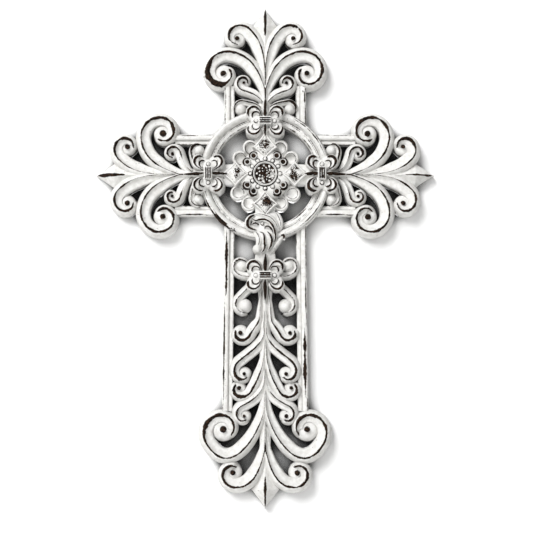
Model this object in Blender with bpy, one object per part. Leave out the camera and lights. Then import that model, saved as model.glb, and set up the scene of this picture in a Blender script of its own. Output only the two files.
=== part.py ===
"""Wall cross: a cast openwork cross of scrolls, with a ring and a rosette at the crossing."""

import math

import bmesh
import bpy
from mathutils import Vector

# Overall height in metres. The free carving is drawn on a grid of 460 steps of it.
HEIGHT = 0.460
GRID = HEIGHT / 460

# Heights in front of the flat back, in metres
SCROLL_RISE = 0.0190
RAIL_RISE = 0.0150
RING_RISE = 0.0200
TIP_RISE = 0.0190
STEM_RISE = 0.0120
CLASP_RISE = 0.0290
SWIRL_RISE = 0.0270
DISC_RISE = 0.0240
KITE_RISE = 0.0270
PETAL_RISE = 0.0200
BEZEL_RISE = 0.0270

# Ring around the crossing, in metres
RING_OUTER = 0.0604
RING_INNER = 0.0475
RING_GROOVE = 0.0527
RING_SIDES = 32

# Where the clasps sit, from the crossing along their limbs, in metres
SIDE_CLASP = 0.0521
TOP_CLASP = 0.0484
FOOT_CLASP = 0.0935

# Rails, from the middle line of their limb to their edges, in metres
RAIL_INNER = 0.0283
RAIL_OUTER = 0.0378
RAIL_SPREAD = 0.0018

# Widths of a scroll's worn outer flank and of its hollow inner slope, in metres
FLANK = 0.0046
SLOPE = 0.0088

# How far a facet of a curl may stand off the true curve, in metres
SAG = 0.0009

# Rosette, in metres from its middle
MEDAL_RADIUS = 0.0098
DISC_RADIUS = 0.0240
BEZEL_RING = 0.0194
BEZEL_RADIUS = 0.0036
PETAL_RING = 0.0300
PETAL_RADIUS = 0.0085
KITE_INNER = 0.0160
KITE_CORNER = 0.0277
KITE_TIP = 0.0374
KITE_HALF = 0.0100

# The four limbs of the cross, as directions in degrees from +X towards +Z
RIGHT = 0
TOP = 90
LEFT = 180
FOOT = 270

# The hanging place: how far the origin on the back lies above the crossing, in metres
HANGING = 0.0620

# Each scroll is a root, the heading there, and a spiral about its eye: the angle and radius
# where the spiral starts, how far it turns and the radius where it ends. Places are in grid
# steps out along the limb and away from its middle line, and angles are in degrees.
ARM_SCROLLS = {
    "tip": dict(
        root=(99.0, 0.3), heading=5, eye=(127.2, 26.0), start=-63, radius=14.6,
        turn=272, end=4.6, tail=16),
    "great": dict(
        root=(79.0, 0.3), heading=17, eye=(94.5, 38.6), start=-32, radius=21.9,
        turn=376, end=5.6, tail=14),
    "bud": dict(
        root=(68.0, 3.0), heading=38, eye=(85.6, 19.6), start=176, radius=7.6,
        turn=-300, end=3.0, tail=0, flank=0.62, slope=0.55),
    "leaf": dict(
        root=(71.5, 3.0), heading=105, eye=(60.8, 23.0), start=-5, radius=8.2,
        turn=215, end=6.4, tail=0, flank=0.55, slope=0.5, boss=2.6),
}
FOOT_SCROLLS = {
    "side": dict(
        root=(92.0, 6.0), heading=75, eye=(84.0, 21.7), start=15, radius=8.6,
        turn=250, end=4.6, tail=0, flank=0.62, slope=0.55, boss=2.4),
    "drop": dict(
        root=(98.0, 6.0), heading=62, eye=(120.8, 18.8), start=145, radius=9.6,
        turn=-165, end=6.0, tail=0, flank=0.75, slope=0.6, boss=3.2),
    "first": dict(
        root=(130.5, 5.2), heading=-1, eye=(145.6, 22.6), start=-80, radius=9.1,
        turn=215, end=4.0, tail=30, slope=0.66),
    "second": dict(
        root=(139.7, 1.6), heading=-14, eye=(183.3, 19.3), start=-198, radius=13.0,
        turn=-225, end=3.4, tail=14, slope=0.66),
    "third": dict(
        root=(166.3, 1.0), heading=7, eye=(196.3, 23.9), start=-79, radius=11.7,
        turn=240, end=3.4, tail=14, slope=0.66),
    "fourth": dict(
        root=(190.7, 1.0), heading=11, eye=(222.0, 19.3), start=-188, radius=9.9,
        turn=-225, end=3.2, tail=12, slope=0.66),
    "great": dict(
        root=(213.2, 0.6), heading=5, eye=(234.0, 38.3), start=43, radius=20.4,
        turn=285, end=8.0, tail=14, leave=0.32, arrive=0.64),
    "tip": dict(
        root=(252.9, 0.4), heading=14, eye=(273.7, 29.5), start=-17, radius=13.6,
        turn=252, end=5.1, tail=26),
}


def polar(centre, radius, degrees):
    """A point at a radius and an angle about a centre."""
    angle = math.radians(degrees)
    return Vector(centre) + Vector((math.cos(angle), math.sin(angle))) * radius


def blend(a, b, share):
    """A value part of the way from a to b."""
    return a + (b - a) * share


def place(direction, side, along, across, rise):
    """A point of one limb of the cross, as a point of the whole, with the back at y = 0."""
    out = Vector((math.cos(math.radians(direction)), math.sin(math.radians(direction))))
    x = out.x * along - out.y * across * side
    z = out.y * along + out.x * across * side
    return Vector((x, -rise, z - HANGING))


def solid(name, bm):
    """Closes a bmesh into an object among the forms that the cross is cast from."""
    bmesh.ops.recalc_face_normals(bm, faces=bm.faces)
    bmesh.ops.triangulate(bm, faces=bm.faces)
    mesh = bpy.data.meshes.new(name)
    bm.to_mesh(mesh)
    bm.free()
    obj = bpy.data.objects.new(name, mesh)
    forms.objects.link(obj)
    obj.hide_render = True
    obj.display_type = "WIRE"
    return obj


def loft(name, sections, ring=False):
    """A solid through a row of like sections, capped at both ends or closed into a ring."""
    bm = bmesh.new()
    rows = [[bm.verts.new(point) for point in section] for section in sections]
    count = len(rows[0])
    pairs = list(zip(rows, rows[1:]))
    if ring:
        pairs.append((rows[-1], rows[0]))
    for low, high in pairs:
        for i in range(count):
            j = (i + 1) % count
            bm.faces.new((low[i], low[j], high[j], high[i]))
    if not ring:
        bm.faces.new(rows[0])
        bm.faces.new(rows[-1])
    return solid(name, bm)


def turned(name, centre, profile, sides, stretch=(1.0, 1.0), direction=0):
    """A boss turned from a profile of radius and height, about an axis that stands on the back."""
    bm = bmesh.new()
    rows = []
    for radius, rise in profile:
        row = []
        for i in range(sides):
            angle = math.tau * (i + 0.5) / sides
            along = math.cos(angle) * radius * stretch[0]
            across = math.sin(angle) * radius * stretch[1]
            row.append(bm.verts.new(place(direction, 1, centre[0] + along, centre[1] + across, rise)))
        rows.append(row)
    for low, high in zip(rows, rows[1:]):
        for i in range(sides):
            j = (i + 1) % sides
            bm.faces.new((low[i], low[j], high[j], high[i]))
    bm.faces.new(rows[0])
    bm.faces.new(rows[-1])
    return solid(name, bm)


def crest_line(scroll):
    """The points of a scroll's crest: the link from its root, then the spiral about its eye."""
    root = Vector(scroll["root"])
    start, turn = scroll["start"], scroll["turn"]
    first, last = scroll["radius"], scroll["end"]
    steps = math.ceil(abs(turn) / 4)
    spiral = [polar(scroll["eye"], first * (last / first) ** (i / steps), start + turn * i / steps)
              for i in range(steps + 1)]
    arriving = (spiral[1] - spiral[0]).normalized()
    leaving = polar((0, 0), 1.0, scroll["heading"])
    reach = (spiral[0] - root).length
    a = root + leaving * reach * scroll.get("leave", 0.38)
    b = spiral[0] - arriving * reach * scroll.get("arrive", 0.38)
    link = []
    for i in range(24):
        t = i / 24
        near = root * (1 - t) ** 3 + a * 3 * t * (1 - t) ** 2
        far = b * 3 * t * t * (1 - t) + spiral[0] * t ** 3
        link.append(near + far)
    return link, spiral


def thinned(points, sag, flank):
    """The few points of a line that keep its outer edge within a sag of the full curve."""
    kept = [0]
    bend = 0.0
    run = 0.0
    for i in range(1, len(points) - 1):
        before = points[i] - points[i - 1]
        after = points[i + 1] - points[i]
        bend += before.angle(after)
        run += before.length
        radius = run / max(bend, 1e-6) + flank
        if radius * (1 - math.cos(bend / 2)) > sag:
            kept.append(i)
            bend = 0.0
            run = 0.0
    if len(points) - 1 - kept[-1] < 3 and len(kept) > 2:
        kept.pop()
    return kept + [len(points) - 1]


def across_line(points, side):
    """The unit normals of a line of points, all on one side of it."""
    result = []
    for i in range(len(points)):
        ahead = points[min(i + 1, len(points) - 1)] - points[max(i - 1, 0)]
        result.append(Vector((-ahead.y, ahead.x)).normalized() * side)
    return result


def scroll_section(direction, mirror, point, normal, flank, slope, rise):
    """A scroll's section: back, rounded outer flank, worn crest, hollow inner slope, back."""
    outline = ((-flank, 0.0), (-flank, rise * 0.55), (0.0, rise), (slope, rise * 0.66), (slope, 0.0))
    return [place(direction, mirror, point.x + normal.x * v, point.y + normal.y * v, h)
            for v, h in outline]


def scroll(name, direction, mirror, form):
    """A limb that grows from a point on the stem and curls up on its eye."""
    link, spiral = crest_line(form)
    flank = FLANK / GRID * form.get("flank", 1.0)
    slope = SLOPE / GRID * form.get("slope", 1.0)
    points = link + spiral
    side = 1 if form["turn"] > 0 else -1
    across = across_line(points, side)
    sections = []
    if form["tail"]:
        back = Vector((form["root"][0] - form["tail"], form["root"][1] * 0.5))
        sections.append(scroll_section(direction, mirror, back * GRID, across[0] * GRID,
                                       0.6, 0.9, SCROLL_RISE))
    for i in thinned(points, SAG / GRID, flank):
        rise = SCROLL_RISE
        if i < len(link):
            share = min(1, 2 * i / len(link))
            widths = (blend(flank * 0.75, flank, share), blend(slope * 0.6, slope, share))
        else:
            share = (i - len(link)) / (len(spiral) - 1)
            radius = (points[i] - Vector(form["eye"])).length
            inner = blend(slope, form["end"] * 0.7, share)
            widths = (blend(flank, flank * 0.6, share), min(inner, radius * 0.8))
            rise *= 1 - 2.6 * max(0, share - 0.8)
        sections.append(scroll_section(direction, mirror, points[i] * GRID, across[i] * GRID,
                                       *widths, rise))
    loft(name, sections)
    middle = Vector(form["eye"]) * GRID
    lobe = (form["end"] + flank * 0.75) * GRID
    boss = form.get("boss", form["end"] * 0.3) * GRID
    turned(name + "_eye", (middle.x, middle.y * mirror), [
        (lobe, 0.0), (lobe, SCROLL_RISE * 0.52), (boss, SCROLL_RISE * 0.91),
    ], 9, direction=direction)


def rib(name, direction, mirror, start, end, bow, half, rise, steps=4):
    """A narrow carved ridge along an arc from start to end that bows to one side."""
    a = Vector(start)
    b = Vector(end)
    chord = b - a
    normal = Vector((-chord.y, chord.x)).normalized()
    points = []
    for i in range(steps + 1):
        share = i / steps
        points.append(a + chord * share + normal * bow * 4 * share * (1 - share))
    sections = []
    for i, (point, n) in enumerate(zip(points, across_line(points, 1))):
        share = i / steps
        width = half * (0.35 + 0.65 * math.sin(math.pi * min(1, 0.12 + share * 0.85)))
        edge = rise * 0.72
        outline = ((-width, 0.0), (-width, edge), (0.0, rise), (width, edge), (width, 0.0))
        sections.append([place(direction, mirror, *((point + n * v) * GRID), h) for v, h in outline])
    loft(name, sections)


def plate(name, direction, mirror, stations):
    """A ridged bar along a limb: each station is a place along it, a half width, and two heights."""
    sections = []
    for along, across, half, edge, ridge in stations:
        outline = ((-half, 0.0), (-half, edge), (0.0, ridge), (half, edge), (half, 0.0))
        sections.append([place(direction, mirror, along, across + v, h) for v, h in outline])
    loft(name, sections)


def clasp(name, direction, centre):
    """A clasp like a lily: a collar that binds four curled leaves, two bosses and two spikes."""
    for end, label in ((1, "out"), (-1, "in")):
        for mirror in (1, -1):
            outer = dict(root=(centre / GRID + 3.0 * end, 2.6), heading=12 if end > 0 else 168,
                         eye=(centre / GRID + 6.4 * end, 11.4), start=-35 if end > 0 else 215, radius=6.8,
                         turn=155 * end, end=5.2)
            link, spiral = crest_line(outer)
            points = link + spiral
            across = across_line(points, end)
            sections = []
            for i in thinned(points, SAG / GRID, 2.2):
                point, n = points[i], across[i]
                edge = CLASP_RISE * 0.78
                outline = ((-2.2, 0.0), (-2.2, edge), (0.0, CLASP_RISE), (4.6, edge), (4.6, 0.0))
                sections.append([place(direction, mirror, *((point + n * v) * GRID), h)
                                 for v, h in outline])
            loft("%s_%s_leaf_%d" % (name, label, mirror), sections)
    for mirror in (1, -1):
        turned("%s_boss_%d" % (name, mirror), (centre, 11.0 * GRID * mirror), [
            (3.4 * GRID, 0.0), (3.4 * GRID, CLASP_RISE * 0.8), (1.6 * GRID, CLASP_RISE * 0.98),
        ], 8, direction=direction)
    plate(name + "_out_spike", direction, 1, [
        (centre + 2.0 * GRID, 0, 2.6 * GRID, CLASP_RISE * 0.8, CLASP_RISE),
        (centre + 9.0 * GRID, 0, 3.0 * GRID, CLASP_RISE * 0.75, CLASP_RISE * 0.97),
        (centre + 21.5 * GRID, 0, 1.2 * GRID, SCROLL_RISE * 0.8, SCROLL_RISE * 1.05),
    ])
    plate(name + "_in_spike", direction, 1, [
        (centre - 2.0 * GRID, 0, 2.6 * GRID, CLASP_RISE * 0.8, CLASP_RISE),
        (centre - 9.0 * GRID, 0, 3.0 * GRID, CLASP_RISE * 0.75, CLASP_RISE * 0.97),
        (centre - 16.4 * GRID, 0, 1.9 * GRID, KITE_RISE * 0.6, KITE_RISE * 0.78),
    ])
    plate(name + "_collar", direction, 1, [
        (centre - 3.1 * GRID, 0, 5.6 * GRID, CLASP_RISE * 0.9, CLASP_RISE * 1.06),
        (centre + 3.1 * GRID, 0, 5.6 * GRID, CLASP_RISE * 0.9, CLASP_RISE * 1.06),
    ])


for old in list(bpy.data.objects):
    bpy.data.objects.remove(old, do_unlink=True)

cross_parts = bpy.data.collections.new("wall_cross")
forms = bpy.data.collections.new("carved_forms")
bpy.context.scene.collection.children.link(cross_parts)
bpy.context.scene.collection.children.link(forms)

paint = bpy.data.materials.new("distressed_white_paint")
paint.use_nodes = True
shader = paint.node_tree.nodes["Principled BSDF"]
shader.inputs["Base Color"].default_value = (0.78, 0.77, 0.74, 1.0)
shader.inputs["Roughness"].default_value = 0.72
shader.inputs["Metallic"].default_value = 0.0

# Ring: a low inner band, a step and a rounded main bead
ring_profile = (
    (RING_INNER, 0.0),
    (RING_INNER, RING_RISE * 0.7),
    (RING_GROOVE, RING_RISE * 0.72),
    (blend(RING_GROOVE, RING_OUTER, 0.4), RING_RISE),
    (RING_OUTER, RING_RISE * 0.7),
    (RING_OUTER, 0.0),
)
ring_sections = []
for i in range(RING_SIDES):
    angle = 360 * (i + 0.5) / RING_SIDES
    ring_sections.append([place(angle, 1, radius, 0.0, rise) for radius, rise in ring_profile])
cross = loft("cross", ring_sections, ring=True)
forms.objects.unlink(cross)
cross_parts.objects.link(cross)
cross.hide_render = False
cross.display_type = "TEXTURED"
cross.data.materials.append(paint)


def rails(name, direction, start, end, spread):
    """The pair of double-beaded bars that run beside a limb."""
    for mirror in (1, -1):
        sections = []
        for along, shift in ((start, 0.0), (end, spread)):
            outline = (
                (RAIL_INNER, 0.0),
                (RAIL_INNER, RAIL_RISE * 0.62),
                (RAIL_INNER + (RAIL_OUTER - RAIL_INNER) * 0.25, RAIL_RISE * 0.78),
                (RAIL_INNER + (RAIL_OUTER - RAIL_INNER) * 0.42, RAIL_RISE * 0.66),
                (RAIL_INNER + (RAIL_OUTER - RAIL_INNER) * 0.7, RAIL_RISE),
                (RAIL_OUTER, RAIL_RISE * 0.66),
                (RAIL_OUTER, 0.0),
            )
            sections.append([place(direction, mirror, along, across + shift, rise)
                             for across, rise in outline])
        loft("%s_rail_%d" % (name, mirror), sections)


ARMS = (("right", RIGHT, SIDE_CLASP), ("top", TOP, TOP_CLASP), ("left", LEFT, SIDE_CLASP))

for label, direction, binding in ARMS:
    for key, form in ARM_SCROLLS.items():
        for mirror in (1, -1):
            scroll("%s_%s_%d" % (label, key, mirror), direction, mirror, form)
    rails(label, direction, math.sqrt(RING_INNER ** 2 - RAIL_INNER ** 2), 82 * GRID, 0.0)
    clasp(label + "_clasp", direction, binding)
    plate(label + "_stem", direction, 1, [
        (RING_GROOVE, 0, 9 * GRID, STEM_RISE, SCROLL_RISE),
        (70 * GRID, 0, 6 * GRID, STEM_RISE, SCROLL_RISE),
        (100 * GRID, 0, 4.2 * GRID, STEM_RISE, SCROLL_RISE * 0.9),
        (130 * GRID, 0, 5 * GRID, STEM_RISE, SCROLL_RISE * 0.9),
    ])
    plate(label + "_point", direction, 1, [
        (121 * GRID, 0, 3.5 * GRID, TIP_RISE * 0.6, TIP_RISE * 0.8),
        (138.5 * GRID, 0, 12.2 * GRID, TIP_RISE * 0.42, TIP_RISE),
        (154.6 * GRID, 0, 0.4 * GRID, TIP_RISE * 0.36, TIP_RISE * 0.5),
    ])

for key, form in FOOT_SCROLLS.items():
    for mirror in (1, -1):
        scroll("foot_%s_%d" % (key, mirror), FOOT, mirror, form)
rails("foot", FOOT, math.sqrt(RING_INNER ** 2 - RAIL_INNER ** 2), 216 * GRID, RAIL_SPREAD)
clasp("foot_clasp", FOOT, FOOT_CLASP)
plate("foot_stem", FOOT, 1, [
    (RING_INNER - 4 * GRID, 0, 9 * GRID, STEM_RISE, SCROLL_RISE),
    (93 * GRID, 0, 8 * GRID, STEM_RISE, SCROLL_RISE),
    (115 * GRID, 0, 6 * GRID, STEM_RISE, SCROLL_RISE * 0.95),
    (145 * GRID, 0, 5 * GRID, STEM_RISE, SCROLL_RISE * 0.9),
    (275 * GRID, 0, 5 * GRID, STEM_RISE, SCROLL_RISE * 0.8),
])
plate("foot_point", FOOT, 1, [
    (268 * GRID, 0, 3.5 * GRID, TIP_RISE * 0.6, TIP_RISE * 0.78),
    (289 * GRID, 0, 13.0 * GRID, TIP_RISE * 0.42, TIP_RISE),
    (305.2 * GRID, 0, 0.4 * GRID, TIP_RISE * 0.36, TIP_RISE * 0.5),
])

# Rosette: a stepped disc with a medal, beads, round bezels, cupped petals and four kites
turned("rosette_disc", (0.0, 0.0), [
    (DISC_RADIUS, 0.0),
    (DISC_RADIUS, DISC_RISE * 0.85),
    (DISC_RADIUS * 0.9, DISC_RISE),
    (MEDAL_RADIUS, DISC_RISE * 1.02),
    (MEDAL_RADIUS * 0.6, DISC_RISE * 1.1),
], 20)
for i in range(4):
    for k, angle in enumerate((33, 57)):
        middle = polar((0, 0), BEZEL_RING, 90 * i + angle)
        turned("bezel_%d_%d" % (i, k), middle, [
            (BEZEL_RADIUS, DISC_RISE * 0.5),
            (BEZEL_RADIUS * 0.8, BEZEL_RISE * 1.04),
        ], 8)
    for k, angle in enumerate((31, 59)):
        turned("petal_%d_%d" % (i, k), (PETAL_RING, 0.0), [
            (PETAL_RADIUS * 0.94, 0.0),
            (PETAL_RADIUS * 1.0, PETAL_RISE * 0.8),
            (PETAL_RADIUS * 0.86, PETAL_RISE),
            (PETAL_RADIUS * 0.4, PETAL_RISE * 0.78),
        ], 10, stretch=(1.15, 0.92), direction=90 * i + angle)
    plate("kite_%d" % i, 90 * i, 1, [
        (KITE_INNER, 0, 3.4 * GRID, KITE_RISE * 0.85, KITE_RISE),
        (KITE_CORNER, 0, KITE_HALF, KITE_RISE * 0.8, KITE_RISE * 1.02),
        (KITE_TIP, 0, 1.0 * GRID, KITE_RISE * 0.72, KITE_RISE * 0.85),
        (RING_INNER + 4 * GRID, 0, 4 * GRID, SCROLL_RISE * 0.8, SCROLL_RISE),
    ])

# Leaf swirl below the rosette: it leans to one side, as a carver's spray does
rib("swirl_hook", FOOT, -1, (39.0, 9.5), (52.5, 8.0), -6.5, 2.8, SWIRL_RISE)
rib("swirl_arch", FOOT, -1, (44.0, 6.0), (72.0, -8.0), -8.5, 3.4, SWIRL_RISE, steps=5)
rib("swirl_flute", FOOT, -1, (49.0, 1.0), (72.0, -3.0), -5.0, 2.8, SWIRL_RISE)
rib("swirl_vein", FOOT, -1, (51.5, 5.0), (73.5, 3.5), -3.5, 2.8, SWIRL_RISE)
rib("swirl_spray", FOOT, -1, (74.0, -6.0), (58.0, -16.5), 1.2, 2.6, SWIRL_RISE * 0.9)
rib("swirl_band", FOOT, -1, (36.5, -9.0), (55.0, -12.5), -3.0, 3.0, SWIRL_RISE * 0.9)
turned("swirl_ball", (70.0 * GRID, -7.4 * GRID), [
    (4.4 * GRID, 0.0),
    (4.4 * GRID, SWIRL_RISE * 0.75),
    (3.4 * GRID, SWIRL_RISE * 0.9),
    (1.4 * GRID, SWIRL_RISE * 0.97),
], 8, direction=FOOT)

union = cross.modifiers.new("cast_as_one", "BOOLEAN")
union.operation = "UNION"
union.operand_type = "COLLECTION"
union.collection = forms
union.solver = "EXACT"

weld = cross.modifiers.new("close_corners", "WELD")
weld.merge_threshold = 0.00003

flat = cross.modifiers.new("join_flat_faces", "DECIMATE")
flat.decimate_type = "DISSOLVE"
flat.angle_limit = math.radians(1.0)

facets = cross.modifiers.new("facets", "TRIANGULATE")

lean = cross.modifiers.new("drop_slivers", "DECIMATE")
lean.decimate_type = "COLLAPSE"
lean.ratio = 0.78
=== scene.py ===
# %% [markdown]
# # An openwork wall cross in worn white paint
# The real cross is one casting: resin is poured into a mould taken from a carved pattern, sprayed
# dark brown, painted white, and rubbed until the brown shows on every crest. This lesson models the
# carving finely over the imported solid, and then paints it with one material that knows, at each
# point, how far the nearest worn line is.

# %% Load the frame
import contextlib
import math
import time

import bpy
import numpy as np
from mathutils import Matrix, Vector
from mathutils.bvhtree import BVHTree


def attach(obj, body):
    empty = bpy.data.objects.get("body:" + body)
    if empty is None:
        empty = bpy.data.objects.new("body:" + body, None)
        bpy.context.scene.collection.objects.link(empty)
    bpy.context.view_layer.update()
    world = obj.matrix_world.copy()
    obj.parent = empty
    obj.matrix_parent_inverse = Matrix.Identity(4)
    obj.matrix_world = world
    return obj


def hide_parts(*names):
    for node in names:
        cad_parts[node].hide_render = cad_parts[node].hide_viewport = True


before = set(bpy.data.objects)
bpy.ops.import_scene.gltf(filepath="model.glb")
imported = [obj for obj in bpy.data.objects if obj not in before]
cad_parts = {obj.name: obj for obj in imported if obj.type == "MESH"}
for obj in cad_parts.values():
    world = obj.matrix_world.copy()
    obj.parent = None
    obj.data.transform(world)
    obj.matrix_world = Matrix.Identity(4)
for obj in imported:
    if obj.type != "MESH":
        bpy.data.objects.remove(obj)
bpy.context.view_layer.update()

# %% [markdown]
# ## The bench
# A carver draws the pattern flat on a bench, one limb at a time. Here too each limb lies flat: x runs
# out along it, y away from its middle line, z up from the back, all in millimetres. A finished limb is
# copied, turned and stood up against the wall. The origin of the whole is the hanging place on the
# back, so the crossing lies below it.

# %% Bench helpers
MM = 0.001
HANGING = 62.0
RIGHT, TOP, LEFT, FOOT = 0, 90, 180, 270
SCROLL_RISE, RAIL_RISE, TIP_RISE, CLASP_RISE, KITE_RISE = 19.0, 15.0, 19.0, 29.0, 27.0
RING_OUTER, RING_GROOVE, RING_INNER = 60.4, 52.7, 47.5
RAIL_INNER, RAIL_OUTER = 28.3, 37.8
FAR = 9.0
print("the crossing lies", HANGING, "mm below the hanging place")


# %% Picking things up
def deselect_all():
    """Leaves nothing selected, the nodes of the frame included."""
    if bpy.context.object and bpy.context.object.mode != "OBJECT":
        bpy.ops.object.mode_set(mode="OBJECT")
    bpy.ops.object.select_all(action="DESELECT")


def pick(*objects):
    """Selects just these objects, the first one active."""
    deselect_all()
    for obj in objects:
        obj.select_set(True)
    bpy.context.view_layer.objects.active = objects[0]


@contextlib.contextmanager
def editing(obj):
    """Edit mode on one object with all of it selected, and object mode again after."""
    pick(obj)
    bpy.ops.object.mode_set(mode="EDIT")
    bpy.ops.mesh.select_all(action="SELECT")
    yield
    bpy.ops.object.mode_set(mode="OBJECT")


print(len(bpy.context.selected_objects), "objects are picked after loading")

# %% [markdown]
# ## Marks of wear
# On the real cross the paint is gone from every crest. A picture wrapped round the carving could show
# that, but its pixels would be too coarse for lines a millimetre wide. Here each corner of a mesh keeps
# three numbers instead: how far the worn line is, how wide it is, and how ragged.


# %% Marks of wear
def smooth_step(low, high, value):
    """0 below low, 1 above high, and an easy curve between."""
    share = np.clip((value - low) / (high - low), 0.0, 1.0)
    return share * share * (3 - 2 * share)


def wear(obj, offset, half, ragged=0.45):
    """Writes at each corner of a mesh how far the nearest worn line is, how wide and how broken it is."""
    count = len(obj.data.vertices)
    for name, value in (("worn_offset", offset), ("worn_half", half), ("worn_ragged", ragged)):
        layer = obj.data.attributes.get(name) or obj.data.attributes.new(name, "FLOAT", "POINT")
        layer.data.foreach_set("value", np.broadcast_to(np.asarray(value, np.float32), count).copy())
    return obj


def corners(obj):
    """A mesh's corners on the bench, in millimetres."""
    flat = np.zeros(len(obj.data.vertices) * 3, np.float32)
    obj.data.vertices.foreach_get("co", flat)
    return flat.reshape(-1, 3) / MM


print("halfway up the easy curve:", smooth_step(0.0, 1.0, 0.5))


# %% Meshes from rows of points
def linked(name, points, edges, faces):
    """An object of a new mesh, from points in millimetres."""
    mesh = bpy.data.meshes.new(name)
    mesh.from_pydata([tuple(value * MM for value in point) for point in points], edges, faces)
    obj = bpy.data.objects.new(name, mesh)
    bpy.context.scene.collection.objects.link(obj)
    return obj


def skinned(name, rows):
    """A closed tube over rows of points, with a face at each end."""
    count = rows.shape[1]
    index = np.arange(rows.shape[0] * count).reshape(-1, count)
    beside = np.roll(index, -1, axis=1)
    faces = np.stack((index[:-1], beside[:-1], beside[1:], index[1:]), axis=-1).reshape(-1, 4).tolist()
    faces += [index[0][::-1].tolist(), index[-1].tolist()]
    return linked(name, rows.reshape(-1, 3).tolist(), [], faces)


def point_outwards(obj, merge=0.00001):
    """Merges doubles and turns every face outwards."""
    with editing(obj):
        bpy.ops.mesh.remove_doubles(threshold=merge)
        bpy.ops.mesh.normals_make_consistent(inside=False)
    return obj


print("a skinned form is closed and faces outwards")


# %% Spun forms and blocks
def spun(name, profile, steps, closed=False):
    """A profile of radius and height, carried once round by Spin."""
    links = [(i, (i + 1) % len(profile)) for i in range(len(profile) - (0 if closed else 1))]
    obj = linked(name, [(radius, 0, rise) for radius, rise in profile], links, [])
    with editing(obj):
        bpy.ops.mesh.spin(steps=steps, angle=math.tau, center=(0, 0, 0), axis=(0, 0, 1))
    return obj


def block(name, size, centre, turn=Matrix.Identity(4)):
    """A box of a size about a place on the bench, both in millimetres."""
    deselect_all()
    bpy.ops.mesh.primitive_cube_add(size=MM, location=(0, 0, 0))
    obj = bpy.context.object
    obj.name = name
    obj.data.transform(turn @ Matrix.Translation(Vector(centre) * MM) @ Matrix.Diagonal((*size, 1)))
    return obj


def sliced(places):
    """Cuts the mesh in hand across at some places along the limb."""
    for place in places:
        bpy.ops.mesh.select_all(action="SELECT")
        bpy.ops.mesh.bisect(plane_co=(place * MM, 0, 0), plane_no=(1, 0, 0))


def rolled(degrees):
    """A turn on the bench about the upright axis."""
    return Matrix.Rotation(math.radians(degrees), 4, "Z")


print("a turn of a quarter:", [round(value) for value in rolled(90) @ Vector((1, 0, 0))])


# %% Joining, copying and standing up
def lifted(obj, amount):
    """Raises the back of a form by less than a hair, so that no two backs lie in one plane."""
    for vertex in obj.data.vertices:
        if vertex.co.z < 0.5 * MM:
            vertex.co.z += amount * MM
    return obj


def joined(name, objects, hair=0.0061):
    """Makes one object of several, each with its back a hair higher than the last."""
    for i, obj in enumerate(objects):
        lifted(obj, hair * i)
    pick(*objects)
    if len(objects) > 1:
        bpy.ops.object.join()
    whole = bpy.context.object
    whole.name = name
    return whole


def copied(obj, matrix):
    """A copy with its own mesh, moved by a matrix, and turned right side out if that mirrored it."""
    twin = obj.copy()
    twin.data = obj.data.copy()
    bpy.context.scene.collection.objects.link(twin)
    twin.data.transform(matrix)
    if matrix.determinant() < 0:
        twin.data.flip_normals()
    return twin


def mirrored(obj):
    """The same form on the other side of the limb's middle line."""
    return copied(obj, Matrix.Diagonal((1, -1, 1, 1)))


def stood_up(obj, direction):
    """Turns a limb from the bench to its direction on the wall, in degrees from +X towards +Z."""
    angle = math.radians(direction)
    out = Vector((math.cos(angle), 0, math.sin(angle)))
    across = Vector((-math.sin(angle), 0, math.cos(angle)))
    front = Vector((0, -1, 0))
    turn = Matrix((out, across, front)).transposed().to_4x4()
    obj.data.transform(Matrix.Translation((0, 0, -HANGING * MM)) @ turn)
    return obj


print("a limb lies flat until it is stood up in one of the directions", (RIGHT, TOP, LEFT, FOOT))

# %% [markdown]
# ## Scrolls
# Each limb of the pattern is a gouge cut: a rounded outer flank, a sharp crest, a hollow inner slope
# with a rolled edge, and a wall straight down. Its crest is a link curve that eases into a spiral
# about the eye. A curve object with a bevel profile would keep one section all the way, but the real
# section narrows to the root and into the coil, so the sections are set along the crest in code, and
# every corner keeps its distance from the crest for the paint.

# %% The section of a scroll
FLANK, SLOPE = 4.6, 8.8
OUTER_SECTION = ((-1, 0), (-1, 0.40), (-0.98, 0.52), (-0.91, 0.65), (-0.78, 0.77), (-0.58, 0.875),
                 (-0.35, 0.945), (-0.14, 0.985), (0, 1))
INNER_SECTION = ((0.05, 0.985), (0.12, 0.93), (0.24, 0.865), (0.40, 0.82), (0.58, 0.80), (0.75, 0.80),
                 (0.88, 0.775), (0.96, 0.71), (1, 0.60), (1, 0))


def crest(root, heading, eye, start, radius, turn, end, tail=0, **special):
    """One scroll: where it leaves the limb and in which direction, its eye, and the spiral about that."""
    usual = dict(flank=1.0, slope=1.0, ball=0.0, worn=1.0, ragged=0.45, leave=0.38, arrive=0.38)
    return dict(usual, root=root, heading=heading, eye=eye, start=start, radius=radius, turn=turn, end=end,
                tail=tail) | special


print("a scroll's flank is", FLANK, "mm wide and its slope", SLOPE, "mm")

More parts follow.
